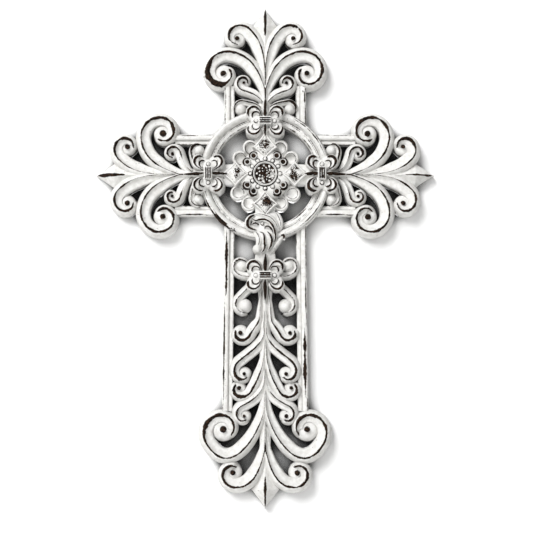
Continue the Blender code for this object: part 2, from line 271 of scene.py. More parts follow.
# %% The scrolls of an arm and of the foot
ARM_SCROLLS = {
    "tip": crest((99.0, 0.3), 5, (127.2, 26.0), -63, 14.6, 272, 4.6, 16, worn=0.85),
    "great": crest((79.0, 0.3), 17, (94.5, 38.6), -32, 21.9, 376, 5.6, 14),
    "bud": crest((68.0, 3.0), 38, (85.6, 19.6), 176, 7.6, -300, 3.0, flank=0.8, slope=0.62, worn=0.75),
    "leaf": crest((63.0, 5.0), 48, (61.3, 22.8), -24, 7.6, 135, 5.2, flank=0.45, slope=0.42, ball=5.3,
                  worn=0.75),
}
FOOT_SCROLLS = {
    "side": crest((92.0, 6.0), 75, (84.0, 21.7), 15, 8.6, 250, 4.6, flank=0.62, slope=0.5, ball=6.3,
                  worn=0.4, ragged=0.9),
    "drop": crest((98.0, 6.0), 62, (120.8, 18.8), 145, 9.6, -165, 6.0, flank=0.75, slope=0.55, ball=6.6,
                  worn=0.4, ragged=0.9),
    "first": crest((130.5, 5.2), -1, (145.6, 22.6), -80, 9.1, 215, 4.0, 30, slope=0.66),
    "second": crest((139.7, 1.6), -14, (183.3, 19.3), -198, 13.0, -225, 3.4, 14, slope=0.66),
    "third": crest((166.3, 1.0), 7, (196.3, 23.9), -79, 11.7, 240, 3.4, 14, slope=0.66),
    "fourth": crest((190.7, 1.0), 11, (222.0, 19.3), -188, 9.9, -225, 3.2, 12, slope=0.66, worn=0.7),
    "great": crest((213.2, 0.6), 5, (234.0, 38.3), 43, 20.4, 285, 8.0, 14, leave=0.32, arrive=0.64),
    "tip": crest((252.9, 0.4), 14, (273.7, 29.5), -17, 13.6, 252, 5.1, 26),
}
print(len(ARM_SCROLLS), "scrolls on each side of an arm,", len(FOOT_SCROLLS), "on each side of the foot")


# %% A crest as a line of points
def ray(degrees):
    """A unit vector at an angle on the bench."""
    return np.array((math.cos(math.radians(degrees)), math.sin(math.radians(degrees))))


def crest_line(form, degrees_a_step=5):
    """A scroll's crest: the tail behind its root, the link, and the spiral about its eye."""
    root, eye = np.array(form["root"]), np.array(form["eye"])
    steps = math.ceil(abs(form["turn"]) / degrees_a_step)
    shrink = form["end"] / form["radius"]
    spiral = [eye + ray(form["start"] + form["turn"] * i / steps) * form["radius"] * shrink ** (i / steps)
              for i in range(steps + 1)]
    arriving = (spiral[1] - spiral[0]) / np.linalg.norm(spiral[1] - spiral[0])
    reach = np.linalg.norm(spiral[0] - root)
    a = root + ray(form["heading"]) * reach * form["leave"]
    b = spiral[0] - arriving * reach * form["arrive"]
    shares = np.linspace(0, 1, 24, endpoint=False)[:, None]
    back = 1 - shares
    link = (root * back ** 3 + a * 3 * shares * back ** 2 + b * 3 * shares ** 2 * back
            + spiral[0] * shares ** 3)
    tail = []
    if form["tail"]:
        behind = np.array((root[0] - form["tail"], root[1] * 0.5))
        tail = [behind + (root - behind) * i / 6 for i in range(6)]
    return np.array(tail).reshape(-1, 2), link, np.array(spiral)


def sideways(points, side):
    """Unit normals of a line of points, all on one side of it."""
    ahead = np.gradient(points, axis=0)
    across = np.stack((-ahead[:, 1], ahead[:, 0]), axis=1) * side
    return across / np.linalg.norm(across, axis=1, keepdims=True)


print("the great scroll's crest has", sum(len(part) for part in crest_line(ARM_SCROLLS["great"])), "points")


# %% A limb swept along its crest
def swept(name, points, side, lefts, rights, rises, halves, left=OUTER_SECTION, right=INNER_SECTION,
          ragged=0.45):
    """A closed limb with its crest on the points, a width to each side, a rise and a worn width at each."""
    across = sideways(points, side)
    outline = np.array(tuple(left) + tuple(right), float)
    offsets = outline[None, :, 0] * np.where(outline[None, :, 0] < 0, lefts[:, None], rights[:, None])
    rows = np.zeros(offsets.shape + (3,))
    rows[..., :2] = points[:, None, :] + across[:, None, :] * offsets[..., None]
    rows[..., 2] = outline[None, :, 1] * rises[:, None]
    obj = wear(skinned(name, rows), offsets.ravel(), np.repeat(halves, offsets.shape[1]), ragged)
    return point_outwards(obj, merge=0.000001)


print("a limb's section has", len(OUTER_SECTION + INNER_SECTION), "corners")

# %% [markdown]
# ## Turned bosses
# Eyes, balls, beads and jewels are round about an axis that stands on the back. On the pattern they
# are turned or punched. Each one is a profile of radius and height that Spin carries once round.


# %% Turned bosses
def turned(name, centre, profile, steps=28, stretch=(1.0, 1.0), degrees=0.0):
    """A boss spun from a profile that ends on its axis, stretched, turned and set at its place."""
    obj = spun(name, profile, steps)
    with editing(obj):
        bpy.ops.mesh.remove_doubles(threshold=0.00001)
        bpy.ops.mesh.select_all(action="DESELECT")
        bpy.ops.mesh.select_mode(type="EDGE")
        bpy.ops.mesh.select_non_manifold()
        bpy.ops.mesh.edge_face_add()
        bpy.ops.mesh.select_mode(type="VERT")
        bpy.ops.mesh.select_all(action="SELECT")
        bpy.ops.mesh.normals_make_consistent(inside=False)
    place = Matrix.Translation((centre[0] * MM, centre[1] * MM, 0))
    obj.data.transform(place @ rolled(degrees) @ Matrix.Diagonal((*stretch, 1, 1)))
    return wear(obj, FAR, 0.0)


def dome(radius, foot, top, rings=6):
    """The profile of a round-topped boss: a wall up to its foot height, then a quarter round."""
    arc = [math.pi / 2 * i / rings for i in range(rings)]
    round_top = [(radius * math.cos(angle), foot + (top - foot) * math.sin(angle)) for angle in arc]
    return [(radius, 0.0)] + round_top + [(0.0, top)]


def from_centre(obj, centre):
    """Each corner's distance from an upright axis."""
    return np.linalg.norm(corners(obj)[:, :2] - np.array(centre), axis=1)


print("a dome's profile has", len(dome(1.0, 0.5, 1.0)), "points")

# %% [markdown]
# ## Eyes and whole scrolls
# Every scroll ends in an eye. Most are dished lobes with a small boss that is rubbed bare, and a few
# are plain balls. The widths beside the crest shrink along the coil, so that it closes on the eye.

# %% Eyes
LOBE = ((1, 0), (1, 0.40), (0.97, 0.50), (0.88, 0.60), (0.74, 0.68), (0.58, 0.72))
BOSS = ((1.28, 0.73), (1.14, 0.80), (1, 0.88), (0.8, 0.925), (0.45, 0.945), (0, 0.95))


def eye_of(name, form):
    """The eye of a scroll: a dished lobe with a worn boss, or a plain ball."""
    if form["ball"]:
        return turned(name, form["eye"], dome(form["ball"], SCROLL_RISE * 0.55, SCROLL_RISE * 1.02))
    lobe = form["end"] + FLANK * form["flank"] * 0.75
    boss = min(form["end"] * 0.40, 2.3)
    profile = [(lobe * share, rise * SCROLL_RISE) for share, rise in LOBE]
    profile += [(boss * share, rise * SCROLL_RISE) for share, rise in BOSS]
    obj = turned(name, form["eye"], profile)
    return wear(obj, from_centre(obj, form["eye"]), boss * 1.1 + 0.2, 0.2)


print("an eye's profile has", len(LOBE + BOSS), "points")


# %% One scroll
def scroll(name, form):
    """One scroll with its eye, on the positive side of the limb."""
    tail, link, spiral = crest_line(form)
    points = np.concatenate((tail, link, spiral))
    side = 1 if form["turn"] > 0 else -1
    flank, slope = FLANK * form["flank"], SLOPE * form["slope"]
    reach = form["ball"] or form["end"] * 0.40
    on_tail = np.linspace(0, 1, len(tail), endpoint=False)
    on_link = np.linspace(0, 1, len(link), endpoint=False)
    on_spiral = np.linspace(0, 1, len(spiral))
    radius = np.linalg.norm(spiral - np.array(form["eye"]), axis=1)
    grow = np.clip(2 * on_link, 0, 1)
    coil = flank * (1.22 - 0.42 * on_spiral)
    dish = smooth_step(0.55, 0.85, on_spiral)
    hollow = np.minimum(slope + (form["end"] * 0.7 - slope) * on_spiral, radius * 0.8)
    hollow = hollow * (1 - dish) + np.maximum(radius - reach * 0.9, 0.3) * dish
    lefts = np.concatenate((0.6 + (flank * 0.75 - 0.6) * on_tail, flank * (0.75 + 0.47 * grow), coil))
    rights = np.concatenate((0.9 + (slope * 0.6 - 0.9) * on_tail, slope * (0.6 + 0.4 * grow), hollow))
    sunk = 1 - 2.6 * np.maximum(0, on_spiral - 0.8)
    rises = np.concatenate((np.ones(len(tail) + len(link)), sunk)) * SCROLL_RISE
    bend = 0.88 + 0.46 * smooth_step(0.02, 0.30, on_spiral) * (1 - smooth_step(0.50, 0.85, on_spiral))
    halves = np.concatenate((0.15 + 0.3 * on_tail, 0.45 + 0.45 * on_link, bend)) * form["worn"]
    limb = swept(name, points, side, lefts, rights, rises, halves, ragged=form["ragged"])
    return limb, eye_of(name + "_eye", form)


print("a coil's flank narrows from", round(FLANK * 1.22, 1), "to", round(FLANK * 0.8, 1), "mm")

# %% [markdown]
# ## Spikes, points and stems
# Between the scrolls run straight ridged forms: the stem, the spear points at the ends of the limbs
# and the spikes that leave each clasp. Rubbing has taken the paint off the middle of every ridge, and
# the bare patch has the shape of a spindle.

# %% Ridged bars
BACK = np.nan
HALF_BAR = ((-1, BACK), (-1, 0), (-0.96, 0.10), (-0.86, 0.22), (-0.6, 0.44), (-0.3, 0.72), (-0.1, 0.93))
BAR_SECTION = np.array(HALF_BAR + ((0, 1),) + tuple((-across, lift) for across, lift in reversed(HALF_BAR)))


def bar(name, stations, worn=(0, 1), half=0.0, ragged=0.35, steps=28, edge_half=0.0):
    """A ridged bar on the middle line through stations of place, half width, edge rise and ridge rise."""
    stations = np.array(stations, float)
    along = np.linspace(stations[0, 0], stations[-1, 0], steps)
    along = np.unique(np.concatenate((along, stations[:, 0])))
    width, edge, ridge = (np.interp(along, stations[:, 0], stations[:, i]) for i in (1, 2, 3))
    middle, spread = (worn[0] + worn[1]) / 2, (worn[1] - worn[0]) / 2
    spindle = half * np.sqrt(np.clip(1 - ((along - middle) / spread) ** 2, 0, 1))
    shares, lift = BAR_SECTION.T
    rows = np.zeros((len(along), len(shares), 3))
    rows[..., 0] = along[:, None]
    rows[..., 1] = width[:, None] * shares
    rows[..., 2] = np.where(np.isnan(lift), 0, edge[:, None] + (ridge - edge)[:, None] * np.nan_to_num(lift))
    at_edge = (shares < -0.9)[None, :] & (along > worn[0])[:, None]
    offset = np.where(at_edge, rows[..., 1] + width[:, None] + 5.0 * (rows[..., 2] == 0), rows[..., 1])
    halves = np.where(at_edge, edge_half, spindle[:, None] * (np.abs(shares) < 0.7))
    obj = wear(skinned(name, rows), offset.ravel(), halves.ravel(), ragged)
    return point_outwards(obj, merge=0.000001)


print("a bar's section has", len(BAR_SECTION), "corners")

# %% [markdown]
# ## Clasps
# Four clasps like lilies bind the limbs to the ring. Each has a ribbed collar, four curled leaves
# with a smaller curl inside each, two small balls and two spikes. They stand highest of all, so they
# are the most rubbed.

# %% The leaves of a clasp
CLASP_PLACE = {RIGHT: 52.0, TOP: 48.5, LEFT: 52.2, FOOT: 93.5}
LEAF_OUTER = ((-1, 0), (-1, 0.76), (-0.93, 0.85), (-0.75, 0.92), (-0.45, 0.965), (-0.16, 0.99), (0, 1))
LEAF_INNER = ((0.08, 0.985), (0.2, 0.96), (0.4, 0.935), (0.65, 0.925), (0.85, 0.92), (0.96, 0.89), (1, 0.82),
              (1, 0))
SCORED, SCORE_DEPTH = (-1.95, 0.0, 1.95), 0.9
BALL_OUT, CHEEK_OUT = 8.5, 7.0


def curl(name, form, left, right, top, half):
    """A curled leaf of a clasp: its crest is a short link and part of a spiral."""
    _, link, spiral = crest_line(form, degrees_a_step=8)
    points = np.concatenate((link[::2], spiral))
    along = np.linspace(0, 1, len(points))
    swell = 0.45 + 0.55 * smooth_step(0.0, 0.4, along)
    close = np.sqrt(np.clip(1 - smooth_step(0.75, 1.0, along) * 0.85, 0, 1))
    rises = top * (0.55 + 0.45 * smooth_step(0, 0.25, along)) * (1 - 0.12 * smooth_step(0.7, 1, along))
    halves = half * (0.25 + 0.75 * smooth_step(0.1, 0.55, along)) * (1 - 0.7 * smooth_step(0.9, 1.0, along))
    side = 1 if form["turn"] > 0 else -1
    return swept(name, points, side, left * swell * close, right * swell * close, rises, halves,
                 LEAF_OUTER, LEAF_INNER, 0.3)


print("a leaf's section has", len(LEAF_OUTER + LEAF_INNER), "corners")


# %% The collar of a clasp
def collar(name, worn):
    """The band of a clasp: a rounded block with three dark scored lines across the limb."""
    band = block(name, (7.4, 11.8, CLASP_RISE * 1.06), (0, 0, CLASP_RISE * 0.53))
    with editing(band):
        bpy.ops.mesh.bevel(offset=1.3 * MM, segments=3, affect="EDGES")
        sliced(cut * 0.325 for cut in range(-10, 11))
    for vertex in band.data.vertices:
        if vertex.co.z > CLASP_RISE * 0.95 * MM:
            near = min(abs(vertex.co.x / MM - line) for line in SCORED)
            vertex.co.z += SCORE_DEPTH * MM * (min(near / 0.65, 1.0) - 1.0)
    place = corners(band)
    near = np.min(np.abs(place[:, :1] - np.array(SCORED)), axis=1)
    on_top = (place[:, 2] > CLASP_RISE * 0.9) & (np.abs(place[:, 0]) < 2.9) & (np.abs(place[:, 1]) < 4.7)
    return wear(band, near, 0.78 * worn * on_top, 0.25)


print("a collar has", len(SCORED), "scored lines,", SCORE_DEPTH, "mm deep")


# %% A whole clasp
def clasp(name, spikes, worn=1.0):
    """A clasp about the point of the limb where x is 0, with its spikes' lengths out and in."""
    forms = []
    outer = curl(name, crest((2.2, 2.4), 28, (7.3, 10.8), -42, 5.4, 160, 5.0), 2.6, 3.9, CLASP_RISE,
                 1.05 * worn)
    inner = curl(name, crest((2.2, 4.6), 30, (4.6, 9.1), -55, 4.0, 185, 2.6), 1.5, 2.3, CLASP_RISE * 0.97,
                 0.68 * worn)
    lobe = turned(name, (6.4, 10.2), dome(6.8, CLASP_RISE * 0.70, CLASP_RISE * 0.86, 4), 22)
    for leaf in (outer, inner, lobe):
        for end in (1, -1):
            twin = copied(leaf, Matrix.Diagonal((end, 1, 1, 1)))
            forms += [twin, mirrored(twin)]
        bpy.data.objects.remove(leaf)
    for side in (1, -1):
        ball = turned(name, (0.0, BALL_OUT * side), dome(2.3, CLASP_RISE * 0.84, CLASP_RISE * 0.94), 20)
        reach = from_centre(ball, (0.0, BALL_OUT * side))
        forms.append(wear(ball, reach - 2.2, 0.45, 0.7))
        cheek = dome(6.4, CLASP_RISE * 0.76, CLASP_RISE * 0.88)
        forms.append(turned(name, (0.0, CHEEK_OUT * side), cheek, 20))
    out, back = spikes
    root, swell = (2.6, CLASP_RISE * 0.80, CLASP_RISE), (CLASP_RISE * 0.76, CLASP_RISE * 0.99)
    out_end, back_end = (1.0, SCROLL_RISE * 0.9, SCROLL_RISE * 1.12), (1.4, KITE_RISE * 0.72, KITE_RISE * 0.98)
    forms.append(bar(name, [(2,) + root, (9, 2.9) + swell, (out,) + out_end],
                     worn=(3.6, out - 0.5), half=1.8 * worn, ragged=0.5))
    forms.append(bar(name, [(-back,) + back_end, (-9, 3.0) + swell, (-2,) + root],
                     worn=(-back - 0.5, -3.6), half=1.9 * worn, ragged=0.6))
    forms.append(collar(name, worn))
    return joined(name, forms, 0.0041)


print("a clasp has four leaves of two curls, two balls and two spikes")

# %% [markdown]
# ## Rails
# A pair of double-beaded bars runs beside every limb and frames it. Each bar is a narrow low bead
# against a broad high one. A cube stretched to length, with its two long top edges bevelled round,
# gives each bead, and the far end of the foot's bars is moved out a little, because they spread.


# %% Rails
def bead_bar(name, start, end, inner, outer, rise, round_by, spread):
    """One rounded bar beside the limb, on its positive side."""
    rail = block(name, (end - start, outer - inner, rise), ((start + end) / 2, (inner + outer) / 2, rise / 2))
    with editing(rail):
        bpy.ops.mesh.select_all(action="DESELECT")
    for edge in rail.data.edges:
        a, b = (rail.data.vertices[i].co for i in edge.vertices)
        edge.select = min(a.z, b.z) > rise * 0.9 * MM and abs(a.x - b.x) > MM
    bpy.ops.object.mode_set(mode="EDIT")
    bpy.ops.mesh.select_mode(type="EDGE")
    bpy.ops.mesh.bevel(offset=round_by * MM, segments=5, affect="EDGES")
    bpy.ops.mesh.select_mode(type="VERT")
    sliced(start + cut * 2.0 for cut in range(1, int((end - start) / 2)))
    bpy.ops.object.mode_set(mode="OBJECT")
    for vertex in rail.data.vertices:
        vertex.co.y += spread * MM * (vertex.co.x / MM - start) / (end - start)
    return rail


def rails(name, start, end, spread=0.0, rubbed=()):
    """The double-beaded bars of both sides, rubbed over some lengths given as side, from, to and width."""
    middle = RAIL_INNER + (RAIL_OUTER - RAIL_INNER) * 0.42
    bars = []
    for side in (1, -1):
        low = bead_bar(name, start, end, RAIL_INNER, middle + 0.3, RAIL_RISE * 0.80, 1.5, spread)
        high = bead_bar(name, start, end, middle, RAIL_OUTER, RAIL_RISE, 2.2, spread)
        wear(low, corners(low)[:, 1] - RAIL_INNER - 0.6, 0.12, 1.0)
        place = corners(high)
        shift = spread * (place[:, 0] - start) / (end - start)
        half, ragged, line = (np.full(len(place), usual) for usual in (0.24, 0.75, RAIL_OUTER - 0.7))
        for on_side, first, last, wide in rubbed:
            fade = np.minimum(place[:, 0] - first, last - place[:, 0]) / (0.25 * (last - first))
            if on_side == side:
                here = fade > 0
                half = np.where(here, wide * np.clip(fade, 0, 1), half)
                line = np.where(here, RAIL_OUTER - (2.6 if wide > 0.7 else 1.3), line)
                ragged = np.where(here, 0.5, ragged)
        wear(high, place[:, 1] - shift - line, half * (place[:, 2] > RAIL_RISE * 0.5), ragged)
        both = joined(name, [low, high], 0.0023)
        bars.append(both if side > 0 else mirrored(both))
        if side < 0:
            bpy.data.objects.remove(both)
    return bars


print("a rail is", round(RAIL_OUTER - RAIL_INNER, 1), "mm wide")

# %% [markdown]
# ## Arms
# The right, top and left arms come from one pattern. It is made once, and each arm is a copy with its
# own clasp place, so that the wear, which follows the place on the wall, differs from arm to arm.


# %% One arm
def half_pattern(scrolls):
    """All the scrolls of one side and their mirror images."""
    parts = [part for name, form in scrolls.items() for part in scroll(name, form)]
    return [side for part in parts for side in (part, mirrored(part))]


arm_forms = half_pattern(ARM_SCROLLS)
arm_forms.append(bar("arm_stem", [
    (50, 8, 12, 17), (70, 6, 12, 18), (100, 4.2, 12, 17.1), (130, 5, 12, 17.1)]))
arm_forms.append(bar("arm_point", [
    (119, 2.4, 11.8, 15.2), (121, 3.5, 11.4, 15.4), (138.5, 12.2, 8.4, TIP_RISE), (153.5, 1.6, 7.2, 11.0),
    (156.4, 0.5, 7.0, 9.0)], worn=(129.0, 155.0), half=1.35, edge_half=0.32))
arm = joined("arm", arm_forms)
print("one arm has", len(arm.data.polygons), "faces")

# %% [markdown]
# ## Rubbing
# A hand with a cloth doesn't press evenly. Each limb has a few spots where the worn lines grow, and a
# few where the paint was spared, so the three arms differ although they share one pattern.

# %% Where each limb is rubbed
RAIL_START, ARM_RAIL_END, FOOT_RAIL_END = math.sqrt(RING_INNER ** 2 - RAIL_INNER ** 2), 84.0, 218.0
RUBBED = {
    RIGHT: ((-1, 50, 75, 0.45), (1, 60, 82, 0.25)),
    TOP: ((-1, 66, 78, 0.7), (1, 60, 80, 0.3)),
    LEFT: ((1, 55, 78, 0.55), (-1, 60, 80, 0.3)),
    FOOT: ((1, 140, 206, 1.4), (1, 96, 128, 0.5), (-1, 50, 116, 1.3), (-1, 112, 212, 0.6)),
}
SPIKES = {RIGHT: (22.5, 15.5), TOP: (21.5, 13.5), LEFT: (23.0, 17.5), FOOT: (24.0, 19.5)}
LIGHT_LINKS = ((74.0, 10.0, 9.0, 0.15), (74.0, -10.0, 9.0, 0.15), (96.0, 0.0, 13.0, 0.35),
               (116.0, 0.0, 14.0, 0.35))
RUBBING = {
    RIGHT: LIGHT_LINKS + ((138.0, 0.0, 12.0, 0.7), (66.0, -22.0, 12.0, 0.3)),
    TOP: ((97.0, 57.0, 13.0, 1.7), (87.0, 54.0, 13.0, 1.7), (79.0, 43.0, 13.0, 1.5)),
    LEFT: LIGHT_LINKS + ((66.0, 22.0, 12.0, 0.4), (146.0, 0.0, 14.0, 1.3)),
    FOOT: tuple((x, 0.0, 7.5, 0.45) for x in range(131, 250, 7)) + (
        (121.0, 0.0, 10.0, 0.1), (130.0, 0.0, 8.0, 0.5), (232.0, -58.0, 13.0, 1.5),
        (293.0, -36.0, 10.0, 0.8)),
}


def rub(limb, spots):
    """Widens or narrows the worn lines about some places, given as x, y, reach and how many times."""
    place = corners(limb)[:, :2]
    widths = np.zeros(len(place), np.float32)
    limb.data.attributes["worn_half"].data.foreach_get("value", widths)
    for x, y, reach, times in spots:
        away = np.linalg.norm(place - np.array((x, y)), axis=1)
        widths *= 1 + (times - 1) * smooth_step(reach, reach * 0.35, away)
    limb.data.attributes["worn_half"].data.foreach_set("value", widths)


print("spots of rubbing on a limb:", [len(spots) for spots in RUBBING.values()])


# %% The three arms
def placed_clasp(name, direction, worn=1.0):
    """A limb's clasp, moved out to its place."""
    binding = clasp(name, SPIKES[direction], worn)
    binding.data.transform(Matrix.Translation((CLASP_PLACE[direction] * MM, 0, 0)))
    return binding


limbs = []
for direction, label in ((RIGHT, "right"), (TOP, "top"), (LEFT, "left")):
    binding = placed_clasp(label + "_clasp", direction, 1.25 if direction == RIGHT else 1.0)
    beside = rails(label + "_rail", RAIL_START, ARM_RAIL_END, rubbed=RUBBED[direction])
    limb = joined(label + "_arm", [copied(arm, Matrix.Identity(4)), binding] + beside)
    rub(limb, RUBBING[direction])
    limbs.append(stood_up(limb, direction))
bpy.data.objects.remove(arm)
print([(limb.name, len(limb.data.polygons)) for limb in limbs])

# %% [markdown]
# ## Foot
# The foot is longer: eight scrolls a side climb a stem between rails that spread a little.

# %% The foot
foot_forms = half_pattern(FOOT_SCROLLS)
foot_forms += rails("foot_rail", RAIL_START, FOOT_RAIL_END, 1.8, RUBBED[FOOT])
foot_forms.append(bar("foot_stem", [(44, 9, 12, 17), (93, 8, 12, 18), (115, 6, 12, 18), (145, 5, 12, 17.1),
                                    (275, 5, 12, 15.2)], steps=60))
foot_forms.append(bar("foot_point", [
    (266, 2.4, 11.8, 15.2), (268, 3.5, 11.4, 15.2), (289, 13.0, 8.4, TIP_RISE), (304.2, 1.4, 7.2, 10.6),
    (306.6, 0.5, 7.0, 9.0)], worn=(277.0, 305.0), half=1.2, edge_half=0.3))
foot = joined("foot", foot_forms + [placed_clasp("foot_clasp", FOOT)])
rub(foot, RUBBING[FOOT])
stood_up(foot, FOOT)
print("the foot has", len(foot.data.polygons), "faces")

# %% [markdown]
# ## Ring
# The ring is turned: a low band slopes in towards the rosette, and past a fine groove stands a broad
# rounded bead. Spin carries its profile once round. Chips run along its edges in a few places, the
# longest at the lower left.

# %% The ring
RING_PROFILE = (
    (47.5, 0), (47.5, 11.6), (47.7, 12.4), (48.3, 13.1), (50.2, 13.8), (52.0, 14.3), (52.5, 14.1),
    (52.75, 13.7), (53.0, 14.3), (53.3, 15.6), (54.0, 17.3), (55.0, 18.7), (56.2, 19.6), (57.3, 20.0),
    (58.4, 19.6), (59.3, 18.6), (59.9, 17.3), (60.25, 15.8), (60.4, 14.0), (60.4, 0))
ring = point_outwards(spun("ring", RING_PROFILE, 180, closed=True))
place = corners(ring)
bearing = np.degrees(np.arctan2(place[:, 1], place[:, 0])) % 360
reach = np.linalg.norm(place[:, :2], axis=1)


def patch(middle, spread, half):
    """A chip's half width along the ring: full at a bearing, fading out to each side."""
    away = np.abs((bearing - middle + 180) % 360 - 180)
    return half * np.clip(1 - (away / spread) ** 2, 0, 1)


ring_lines = (
    (RING_GROOVE, 0.16, 0.8),
    (59.3, 0.10 + patch(231, 14, 1.7) + patch(52, 12, 0.3) + patch(212, 12, 0.7) + patch(36, 9, 0.25), 0.75),
    (57.2, patch(40, 24, 0.24) + patch(318, 16, 0.30) + patch(190, 14, 0.22), 1.0),
    (48.6, 0.10 + patch(46, 18, 0.35) + patch(310, 12, 0.4) + patch(140, 30, 0.15), 0.9),
)
radii, halves, raggeds = (np.stack([np.broadcast_to(value, reach.shape) for value in column])
                          for column in zip(*ring_lines))
nearest = (np.argmin(np.abs(reach - radii) - halves, axis=0), np.arange(len(reach)))
wear(lifted(ring, 0.0017), (reach - radii)[nearest], halves[nearest] * (place[:, 2] > 9), raggeds[nearest])
print("the ring is", 2 * RING_OUTER, "mm across")

# %% [markdown]
# ## Rosette
# The rosette sits in the ring on four kites. From the middle out it has a small medal with worn
# relief, twelve beads, eight bezels with brown jewels and eight cupped petals. Every round thing is
# spun from its profile and set at its place about the middle.

# %% The disc
CENTRE = (0.0, 0.0)
MEDAL_LINE, MEDAL_TOP, BEAD_CIRCLE, BEZEL_CIRCLE = 11.6, 25.7, 13.6, 19.5
rosette_forms = []
disc = turned("rosette_disc", CENTRE, [
    (24.0, 0), (24.0, 18.0), (23.4, 20.0), (22.2, 21.4), (20.0, 22.4), (17.2, 23.2), (12.4, 23.6),
    (12.1, 23.6), (11.7, 22.6), (11.3, 23.6), (11.1, 25.0), (10.8, 25.6), (10.4, 25.8), (10.0, 25.5),
    (9.75, 24.8), (9.5, 24.2), (9.4, 24.1), (0, 24.0)], 72)
reach = from_centre(disc, CENTRE)
rosette_forms.append(wear(disc, np.where(reach > 10.2, reach - MEDAL_LINE, np.where(reach > 9.45, 3.0, 0.0)),
                          np.where(reach > 10.2, 0.55, 1.1), np.where(reach > 9.45, 0.15, 0.9)))


def around(radius, degrees):
    """A place on a circle about the rosette's middle."""
    return tuple((ray(degrees) * radius).tolist())


print("the disc has", len(disc.data.vertices), "corners")

# %% Beads and medal
for i in range(12):
    spot = around(BEAD_CIRCLE, 30 * i + 90)
    bead = turned("bead", spot, [
        (2.3, 22), (2.3, 23.75), (2.15, 23.9), (1.95, 23.4), (1.65, 23.8), (1.5, 24.6), (1.15, 25.2),
        (0.6, 25.5), (0, 25.6)], 16)
    rosette_forms.append(wear(bead, from_centre(bead, spot) - 2.05, 0.48, 0.7))
for i in range(4):
    part = block("medal_cross", (4.6 if i != 3 else 8.0, 1.9, 2.2), (2.4, 0, 24.4), rolled(90 * i))
    with editing(part):
        bpy.ops.mesh.bevel(offset=0.4 * MM, segments=2, affect="EDGES")
    rosette_forms.append(wear(part, 0.0, 0.75, 0.8))
for i in range(9):
    for radius, size, turn in ((7.6, 1.2, 20.0), (5.4, 1.0, 0.0), (3.3, 0.8, 20.0)):
        spot = around(radius, 40 * i + turn)
        knob = turned("medal_knob", spot, dome(size, 24.2, MEDAL_TOP - 0.3, 3), 10, stretch=(1.5, 0.8),
                      degrees=40 * i + turn + 50)
        rosette_forms.append(wear(knob, from_centre(knob, spot) - size * 1.2, 0.35, 0.9))
rosette_forms.append(turned("rosette_base", CENTRE, dome(29.5, 12.0, 16.0, 4), 64))
print("disc, medal and beads:", len(rosette_forms), "forms")

# %% [markdown]
# ## Bezels
# Eight round jewels sit in turned rims, two between each pair of kites. They are rubbed to the brown
# coat, and each rim is rubbed most on the side that leans outwards.

# %% Bezels with worn jewels
BEZEL_ANGLES = (33, 57, 123, 147, 213, 237, 303, 327)
for angle in BEZEL_ANGLES:
    spot = around(BEZEL_CIRCLE, angle)
    bezel = turned("bezel", spot, [
        (4.6, 0), (4.6, 21.9), (4.45, 22.4), (4.1, 22.6), (3.75, 22.2), (3.4, 22.8), (3.3, 24.6), (3.1, 25.7),
        (2.8, 26.1), (2.45, 25.9), (2.2, 25.1), (1.9, 25.6), (1.4, 26.2), (0.7, 26.5), (0, 26.6)], 28)
    away = from_centre(bezel, spot)
    outside = (corners(bezel)[:, :2] - np.array(spot)) @ ray(angle - 30)
    half = np.where(away < 2.9, 2.05, 0.5 + 0.4 * smooth_step(-1.0, 2.5, outside))
    wear(bezel, np.where(away < 2.9, away, away - 3.8), half, 0.15)
    rosette_forms.append(bezel)
print(len(BEZEL_ANGLES), "bezels on a circle of", BEZEL_CIRCLE, "mm")

# %% [markdown]
# ## Petals
# Behind the jewels stand eight cupped petals. A spun cup is stretched a little across, and its rim is
# pressed down on the side towards the middle, where the jewel lies over it.

# %% Cupped petals
PETALS = ((31.5, 27.4), (60.0, 27.8), (119.0, 27.8), (147.5, 27.0), (214.5, 29.8), (241.0, 30.2),
          (298.0, 30.0), (324.5, 30.6))
for angle, radius in PETALS:
    spot, cup = around(radius, angle), 14.4 if angle < 180 else 15.8
    petal = turned("petal", spot, [
        (7.0, 0), (7.2, 9.0), (7.5, 13.0), (7.7, 16.0), (7.55, 18.0), (7.1, 19.4), (6.5, 20.2), (5.9, 20.3),
        (5.3, 19.8), (4.6, (20 + cup) / 2), (3.6, cup + 0.8), (2.2, cup + 0.2), (1.0, cup), (0, cup)],
        32, stretch=(1.04, 0.94), degrees=angle)
    inwards = -(corners(petal)[:, :2] - np.array(spot)) @ ray(angle)
    for vertex, share in zip(petal.data.vertices, smooth_step(-1.0, 5.0, inwards)):
        vertex.co.z = min(vertex.co.z, vertex.co.z * (1 - share) + (cup - 1.0) * MM * share)
    rosette_forms.append(wear(petal, from_centre(petal, spot) - 5.0, 0.18, 1.1))
print(len(PETALS), "petals")

# %% [markdown]
# ## Kites
# Four kites point along the limbs. Each is a stack of outlines with their sides pulled in, which shrink
# as they rise, so it has a rolled rim, a groove, and a raised middle that is rubbed bare.


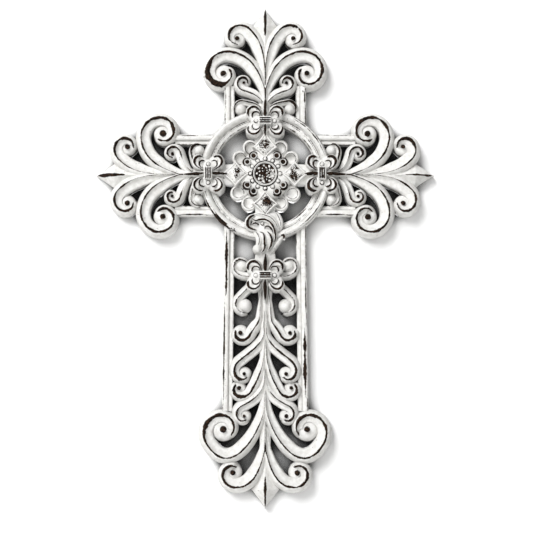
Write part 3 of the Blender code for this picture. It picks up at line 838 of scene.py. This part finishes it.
# %% One kite
def kite(direction, inner, corner, tip, half, worn_half, line=0.1):
    """A four-sided point with a rolled rim round a raised, rubbed middle."""
    stops = np.array(((inner, 0), (corner, -half), (tip, 0), (corner, half)), float)
    middle = np.array((corner, 0.0))
    t, outline = np.arange(14)[:, None] / 14, []
    for a, b in zip(stops, np.roll(stops, -1, axis=0)):
        pull = (a + b) / 2 + (middle - (a + b) / 2) * 0.16
        outline.append(a * (1 - t) ** 2 + pull * 2 * t * (1 - t) + b * t ** 2)
    outline = np.concatenate(outline)
    rings = ((1.0, 0.0), (1.0, 0.76), (0.98, 0.82), (0.94, 0.87), (0.88, 0.91), (0.82, 0.915), (0.77, 0.905),
             (0.73, 0.895), (0.68, 0.905), (0.60, 0.93), (0.50, 0.955), (0.38, 0.975), (0.25, 0.985),
             (0.12, 0.985))
    rows = np.zeros((len(rings), len(outline), 3))
    for row, (share, lift) in zip(rows, rings):
        row[:, :2] = middle + (outline - middle) * share
        row[:, 2] = KITE_RISE * lift
    share = np.repeat([share for share, _ in rings], len(outline))
    away = np.hypot(rows.reshape(-1, 3)[:, 0] - corner, rows.reshape(-1, 3)[:, 1])
    in_groove = (share < 0.80) & (share > 0.66)
    offset = np.where(in_groove, (share - 0.73) * half, away)
    width = np.where(in_groove, line, worn_half * (share < 0.66))
    obj = wear(skinned("kite", rows), offset, width, np.where(in_groove, 0.9, 1.35))
    point_outwards(obj, merge=0.000001)
    obj.data.transform(rolled(direction))
    return obj


print("a kite stands", KITE_RISE, "mm high")

# %% Four kites and their links
for measures in ((RIGHT, 14.0, 27.2, 40.5, 12.6, 5.0), (TOP, 13.5, 24.5, 40.0, 12.0, 3.2),
                 (LEFT, 14.0, 27.2, 40.5, 12.6, 2.6), (FOOT, 14.2, 27.6, 40.5, 12.4, 4.0, 0.24)):
    rosette_forms.append(kite(*measures))
for direction in (RIGHT, TOP, LEFT, FOOT):
    link = bar("link", [(28, 9.5, 19, 21), (36, 9.0, 19, 21), (43, 14.0 if direction == TOP else 8.0, 19, 21),
                        (47.0, 5.0, 13, 17), (51.0, 4.0, 13, 17)])
    link.data.transform(rolled(direction))
    rosette_forms.append(link)
rosette = joined("rosette", rosette_forms)
print("the rosette has", len(rosette.data.polygons), "faces")

# %% [markdown]
# ## Leaf swirl
# Under the rosette an acanthus spray curls to one side. It is drawn as a handful of flowing ribs, each
# swept along a smooth curve through the few points where the carver's line turns.


# %% Flowing ribs
def flowing(points, per_span=7):
    """A smooth curve through a few points."""
    points = np.array(points, float)
    padded = np.vstack((2 * points[0] - points[1], points, 2 * points[-1] - points[-2]))
    t, line = np.arange(per_span)[:, None] / per_span, []
    for a, b, c, d in zip(padded, padded[1:], padded[2:], padded[3:]):
        line.append(0.5 * ((2 * b) + (c - a) * t + (2 * a - 5 * b + 4 * c - d) * t ** 2
                           + (3 * b - a - 3 * c + d) * t ** 3))
    return np.concatenate(line + [points[-1:]])


RIB_LEFT = ((-1, 0), (-1, 0.85), (-0.93, 0.90), (-0.72, 0.945), (-0.42, 0.98), (-0.16, 0.995), (0, 1))
RIB_RIGHT = tuple((-v, h) for v, h in reversed(RIB_LEFT[:-1]))


def rib(name, points, width, rise, half, ragged=0.3):
    """A rounded rib of the spray, through points given across and below the crossing."""
    line = flowing([(below, across) for across, below in points])
    along = np.linspace(0, 1, len(line))
    swell = width * (0.35 + 0.65 * np.sqrt(np.clip(np.sin(np.pi * np.clip(along, 0.02, 0.98)), 0, 1)))
    rises = rise * (0.86 + 0.14 * np.sin(np.pi * along))
    halves = half * np.sqrt(np.clip(np.sin(np.pi * along), 0, 1))
    return swept(name, line, 1, swell, swell, rises, halves, RIB_LEFT, RIB_RIGHT, ragged)


print("a rib's section has", len(RIB_LEFT + RIB_RIGHT), "corners")

# %% The swirl
swirl_forms = [
    rib("hook", [(-9.4, 37.6), (-13.6, 40.2), (-16.2, 44.6), (-14.6, 49.6), (-8.0, 52.0)], 2.7, 26.6, 1.35),
    rib("lip", [(-12.6, 46.6), (-8.8, 45.8), (-5.4, 47.4)], 1.9, 26.2, 0.7, 0.9),
    rib("arch", [(-13.4, 40.4), (-9.2, 43.1), (-5.6, 42.5), (-2.0, 42.3), (1.8, 43.2), (5.0, 45.5),
                 (7.6, 49.2), (9.0, 53.8), (9.4, 58.5), (8.6, 64.0)], 2.4, 27.0, 1.0),
    rib("crown", [(-11.6, 38.0), (-6.0, 37.0), (0.5, 38.4), (6.4, 41.6), (10.4, 47.0), (12.0, 53.0)],
        2.6, 25.0, 0.3),
    rib("brow", [(-0.4, 51.4), (0.3, 48.9), (3.0, 48.7), (6.1, 51.5), (8.0, 56.0)], 1.7, 26.6, 0.8),
    rib("flute", [(1.6, 52.6), (4.8, 56.8), (6.0, 61.1), (5.2, 66.0), (2.6, 71.0)], 2.0, 26.6, 1.0),
    rib("vein", [(-5.2, 53.2), (-1.9, 55.0), (-0.8, 58.6), (-0.8, 62.6), (-0.2, 66.5), (-1.3, 70.2),
                 (-4.0, 73.4)], 2.0, 26.2, 1.0),
    rib("back", [(-10.4, 51.6), (-6.6, 56.0), (-5.4, 61.4), (-6.8, 67.0), (-8.6, 71.0)], 2.7, 24.0, 0.35),
    rib("spray", [(4.4, 74.0), (8.0, 67.6), (12.4, 61.6), (16.6, 57.2)], 2.6, 22.0, 0.0),
    rib("spray_tip", [(14.2, 56.6), (16.8, 56.4), (17.2, 59.8)], 1.8, 23.6, 1.4),
    rib("band", [(9.0, 35.0), (11.8, 38.8), (14.0, 45.0), (13.4, 52.0)], 2.8, 22.0, 0.3),
]
for across, below, radius, top in ((-7.2, 69.1, 4.4, 25.6), (-2.6, 46.0, 2.0, 26.8)):
    swirl_forms.append(turned("swirl_ball", (below, across), dome(radius, top * 0.72, top), 24))
dot = swirl_forms[-1]
wear(dot, from_centre(dot, (46.0, -2.6)) - 1.7, 0.4, 0.3)
swirl_forms.append(bar("swirl_bed", [
    (36, 9.0, 21, 22.4), (48, 13.0, 21, 23), (60, 8.5, 21, 23), (70, 8.5, 18, 20), (84, 10.5, 14, 17)]))
swirl = joined("swirl", swirl_forms)
print("the swirl has", len(swirl.data.polygons), "faces")

# %% Stand the middle up
for form in (ring, rosette):
    stood_up(form, RIGHT)
stood_up(swirl, FOOT)
pieces = limbs + [foot, ring, rosette, swirl]
print([piece.name for piece in pieces])

# %% [markdown]
# ## Paint
# Two coats, brown under and white over, and painted shade: a grey-brown darkening mixed into the white in
# the hollows and on the walls near the back, where shade falls. The material reads the worn lines that
# every form carries. Noise on Object coordinates widens, narrows and frays them, so no two scrolls wear
# alike. A second, larger noise warms and cools the white.

# %% Short words for nodes
paint = bpy.data.materials.new("distressed_white_paint")
paint.use_nodes = True
shader = paint.node_tree.nodes["Principled BSDF"]


def node(kind, inputs=(), tree=paint.node_tree, **settings):
    """Adds a node, sets its options, and links or sets its inputs."""
    new = tree.nodes.new(kind)
    for key, value in settings.items():
        setattr(new, key, value)
    for key, value in dict(inputs).items():
        if isinstance(value, bpy.types.NodeSocket):
            tree.links.new(value, new.inputs[key])
        else:
            new.inputs[key].default_value = value
    return new


def maths(operation, a, b=0.0, c=0.0):
    """One Math node's result."""
    return node("ShaderNodeMath", {0: a, 1: b, 2: c}, operation=operation).outputs[0]


def spread_over(value, low, high, to_low=0.0, to_high=1.0, easing="SMOOTHSTEP", tree=paint.node_tree):
    """One Map Range node's result."""
    return node("ShaderNodeMapRange", {"Value": value, "From Min": low, "From Max": high, "To Min": to_low,
                                       "To Max": to_high}, tree, interpolation_type=easing).outputs["Result"]


def mixed(share, a, b, tree=paint.node_tree):
    """One colour mixed towards another."""
    return node("ShaderNodeMix", {"Factor": share, "A": a, "B": b}, tree, data_type="RGBA").outputs["Result"]


def read(name):
    """A float attribute of the mesh."""
    return node("ShaderNodeAttribute", attribute_name=name, attribute_type="GEOMETRY").outputs["Fac"]


place_on = node("ShaderNodeTexCoord").outputs["Object"]


def noise(scale, detail=2.0, rough=0.5):
    """Noise on Object coordinates, for features about 1 / scale metres across."""
    return node("ShaderNodeTexNoise", {"Vector": place_on, "Scale": scale, "Detail": detail,
                                       "Roughness": rough}).outputs["Fac"]


print("the paint starts with", len(paint.node_tree.nodes), "nodes")

# %% Where the paint is bare
offset, half, ragged = read("worn_offset"), read("worn_half"), read("worn_ragged")
broad = spread_over(noise(110, 1.5), 0.30, 0.70, -1.0, 1.0, "LINEAR")
small = spread_over(noise(480, 2.0), 0.30, 0.70, -1.0, 1.0, "LINEAR")
fine = spread_over(noise(900, 2.5, 0.6), 0.25, 0.75, -1.0, 1.0, "LINEAR")
crumbs = maths("MULTIPLY_ADD", spread_over(ragged, 0.95, 1.3), maths("SUBTRACT", fine, small), small)
fray = maths("MULTIPLY", maths("MULTIPLY_ADD", maths("MULTIPLY", crumbs, ragged), 0.9, broad), ragged)
width = maths("MULTIPLY", half, maths("MAXIMUM", maths("MULTIPLY_ADD", fray, 1.1, 1.0), 0.0))
distance = maths("MULTIPLY_ADD", fine, 0.22, maths("ABSOLUTE", offset))
bare = spread_over(maths("SUBTRACT", width, distance), -0.10, 0.10)
bare = maths("MULTIPLY", bare, spread_over(half, 0.02, 0.12))
speck = spread_over(noise(420, 2.0, 0.55), 0.70, 0.74)
depth = node("ShaderNodeSeparateXYZ", {"Vector": place_on}).outputs["Y"]
off_back = spread_over(depth, -0.0016, -0.0008, 1.0, 0.0)
bare = maths("MULTIPLY", maths("MAXIMUM", bare, maths("MULTIPLY", speck, 0.7)), off_back)
print("worn lines, specks and a clean back:", len(paint.node_tree.nodes), "nodes")

# %% Two coats and painted shade
DARK_UMBER, LIGHT_UMBER = (0.002, 0.0015, 0.001, 1), (0.034, 0.017, 0.009, 1)
WARM_WHITE, DULL_WHITE = (0.665, 0.66, 0.645, 1), (0.565, 0.557, 0.535, 1)
# The grey-brown below is painted shade for the gaps and hollows, not a coat on the cross.
PAINTED_SHADE_BROWN = (0.055, 0.048, 0.042, 1)
umber = mixed(spread_over(noise(600, 3.0, 0.6), 0.42, 0.62), DARK_UMBER, LIGHT_UMBER)
white = mixed(spread_over(noise(240, 4.0, 0.62), 0.36, 0.68), WARM_WHITE, DULL_WHITE)
# Painted shade: grey-brown mixed into the white where other carving is close and nearer the back, where shade
# falls in the gaps; never on the back face.
deep = spread_over(depth, -0.017, -0.003, -0.34, 0.46)
painted_shade_share = spread_over(maths("ADD", maths("MULTIPLY_ADD", fine, 0.05, read("sheltered")), deep), 0.60, 1.00)
white = mixed(maths("MULTIPLY", maths("MULTIPLY", painted_shade_share, off_back), 0.9), white, PAINTED_SHADE_BROWN)
paint.node_tree.links.new(mixed(bare, white, umber), shader.inputs["Base Color"])
paint.node_tree.links.new(spread_over(bare, 0.0, 1.0, 0.60, 0.85), shader.inputs["Roughness"])
shader.inputs["Specular IOR Level"].default_value = 0.14

grain = node("ShaderNodeBump", {"Height": noise(1100, 3.0, 0.6), "Strength": 0.25, "Distance": 0.0002})
swell = node("ShaderNodeBump", {"Height": noise(260, 2.0), "Strength": 0.25, "Distance": 0.0006,
                                "Normal": grain.outputs["Normal"]})
coat = node("ShaderNodeBump", {"Height": bare, "Strength": 0.5, "Distance": 0.0002,
                               "Normal": swell.outputs["Normal"]}, invert=True)
paint.node_tree.links.new(coat.outputs["Normal"], shader.inputs["Normal"])
print("the paint has", len(paint.node_tree.nodes), "nodes")

# %% [markdown]
# ## Where the painted shade falls
# The painted shade darkens the corners that other carving hides. From each corner a fan of rays
# looks out over the carving, and the share of them that soon meets other carving says how sheltered
# the corner is. It is measured once, so the material doesn't have to look around while it renders.

# %% Where the painted shade falls
def sheltered(pieces, reach=0.016, rays=20):
    """Writes at each corner the share of the open side that other forms block within a short reach."""
    points, faces, start = [], [], 0
    for piece in pieces:
        points.append(corners(piece) * MM)
        faces += [tuple(start + i for i in face.vertices) for face in piece.data.polygons]
        start += len(points[-1])
    carving = BVHTree.FromPolygons(np.concatenate(points).tolist(), faces)
    golden = math.pi * (3 - math.sqrt(5))
    lifts = [0.25 + 0.72 * (i + 0.5) / rays for i in range(rays)]
    fan = [Vector((math.cos(golden * i) * math.sqrt(1 - lift ** 2),
                   math.sin(golden * i) * math.sqrt(1 - lift ** 2), lift)) for i, lift in enumerate(lifts)]
    for piece in pieces:
        shares = np.zeros(len(piece.data.vertices), np.float32)
        for i, (vertex, normal) in enumerate(zip(piece.data.vertices, piece.data.vertex_normals)):
            if vertex.co.y > -0.5 * MM:
                shares[i] = 0.5
                continue
            turn = normal.vector.to_track_quat("Z", "Y")
            start = vertex.co + normal.vector * 0.4 * MM
            shares[i] = sum(carving.ray_cast(start, turn @ way, reach)[0] is not None for way in fan) / rays
        layer = piece.data.attributes.new("sheltered", "FLOAT", "POINT")
        layer.data.foreach_set("value", shares)


started = time.time()
sheltered(pieces)
print("shelter measured in", round(time.time() - started, 1), "s")

# %% [markdown]
# ## Dressing
# Every piece takes the same paint and rides the one node of the frame. Edges flatter than the angle
# shade smooth, and the sharper ones keep the crispness of the carving.

# %% Dress every piece
CRISP = 38
for piece in pieces:
    pick(piece)
    piece.data.materials.clear()
    piece.data.materials.append(paint)
    bpy.ops.object.shade_smooth_by_angle(angle=math.radians(CRISP))
    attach(piece, "root")
    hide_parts("cross")
print(len(pieces), "pieces dressed,", sum(len(piece.data.vertices) for piece in pieces), "corners")

# %% [markdown]
# ## Wall and floor
# The cross hangs on a white wall, so the shadows close behind it are half of the picture. The wall can
# be seen from the front only, and carries painted shade: its colour darkens close to the cross. A plain
# pale floor lies far below.


# %% A matte finish
def matte(name, colour, painted_shade_reach=0.0):
    """A plain matte finish that shows on the front of a sheet and lets the eye through from behind; given a
    reach, it carries painted shade that darkens it close to other things.
    """
    material = bpy.data.materials.new(name)
    material.use_nodes = True
    tree = material.node_tree
    surface = tree.nodes["Principled BSDF"]
    surface.inputs["Base Color"].default_value = colour
    surface.inputs["Roughness"].default_value = 0.9
    surface.inputs["Specular IOR Level"].default_value = 0.1
    if painted_shade_reach:
        # Painted shade: the wall's colour darkens towards black where ambient occlusion finds the cross close
        # by.
        near = node("ShaderNodeAmbientOcclusion", {"Distance": painted_shade_reach}, tree, samples=12)
        shade = spread_over(near.outputs["AO"], 0.19, 0.66, 0.01, 1.0, tree=tree)
        tree.links.new(mixed(shade, (0, 0, 0, 1), colour, tree), surface.inputs["Base Color"])
    facing = node("ShaderNodeNewGeometry", tree=tree).outputs["Backfacing"]
    through = node("ShaderNodeBsdfTransparent", tree=tree).outputs["BSDF"]
    mix = node("ShaderNodeMixShader", {"Fac": facing, 1: surface.outputs["BSDF"], 2: through}, tree)
    tree.links.new(mix.outputs["Shader"], tree.nodes["Material Output"].inputs["Surface"])
    return material


print("the finishes of wall and floor are matte")


# %% The wall and the floor
def backdrop(name, size, location, rotation, colour, painted_shade_reach=0.0):
    """A flat piece of the stage."""
    deselect_all()
    bpy.ops.mesh.primitive_plane_add(size=size, location=location, rotation=rotation)
    plane = bpy.context.object
    plane.name = name
    plane.data.materials.append(matte(name + "_finish", colour, painted_shade_reach))
    return plane


WALL_GAP, PAINTED_SHADE_REACH = 0.0006, 0.016
wall = backdrop("wall", 6.0, (0, WALL_GAP, 0.8), (math.radians(90), 0, 0), (0.86, 0.86, 0.86, 1), PAINTED_SHADE_REACH)
wall.visible_shadow = False
backdrop("floor", 6.0, (0, -2.0, -1.2), (0, 0, 0), (0.88, 0.88, 0.87, 1))
print("the wall is", WALL_GAP / MM, "mm behind the cross")

# %% [markdown]
# ## Light
# A broad soft panel stands at the upper left and a wide weak one in front, so the shadows fall short
# and down to the right. A small lamp behind lights the back. The sky is white to the camera but adds
# little light.


# %% Lights
def panel(name, place, aim, size, power):
    """A soft square light aimed at a point."""
    data = bpy.data.lights.new(name, "AREA")
    data.shape = "SQUARE"
    data.size = size
    data.energy = power
    lamp = bpy.data.objects.new(name, data)
    lamp.location = place
    lamp.rotation_euler = (Vector(aim) - Vector(place)).to_track_quat("-Z", "Y").to_euler()
    bpy.context.scene.collection.objects.link(lamp)


middle = (0.0, 0.0, -0.14)
panel("key", (-1.25, -2.5, 1.6), middle, 1.8, 142.0)
panel("fill", (-0.2, -3.6, 0.3), middle, 3.0, 28.0)
panel("behind", (0.0, 5.0, -0.14), middle, 0.3, 180.0)

print("three lights")

# %% The sky
world = bpy.data.worlds.new("studio")
bpy.context.scene.world = world
world.use_nodes = True
back = world.node_tree.nodes["Background"]
back.inputs["Color"].default_value = (1, 1, 1, 1)
seen = node("ShaderNodeLightPath", tree=world.node_tree).outputs["Is Camera Ray"]
level = node("ShaderNodeMapRange", {"Value": seen, "To Min": 0.08, "To Max": 0.95}, world.node_tree)
world.node_tree.links.new(level.outputs["Result"], back.inputs["Strength"])
print("the sky lights with a strength of", round(level.inputs["To Min"].default_value, 2))

# %% [markdown]
# ## Camera
# The camera stands a metre and a half off, below the crossing, and looks slightly up. Its lens is
# given by the focal length in pixels that fits the outline in the photograph.

# %% Camera
PHOTO = 533
DISTANCE = 1.430
EYE_BELOW_CROSSING = 0.195
TILT_UP = 2.875
TURN_RIGHT = 0.0483
FOCAL_PIXELS, SENSOR = 1543.1, 36.0
camera_data = bpy.data.cameras.new("camera")
camera_data.sensor_width = SENSOR
camera_data.lens = SENSOR * FOCAL_PIXELS / PHOTO
camera_data.shift_y = 0.08
camera = bpy.data.objects.new("camera", camera_data)
camera.location = (0, -DISTANCE, -HANGING * MM - EYE_BELOW_CROSSING)
camera.rotation_euler = (math.radians(90 + TILT_UP), 0, math.radians(-TURN_RIGHT))
bpy.context.scene.collection.objects.link(camera)
bpy.context.scene.camera = camera
bpy.context.scene.view_settings.view_transform = "Standard"
print("lens", round(camera_data.lens, 1), "mm at", DISTANCE, "m")
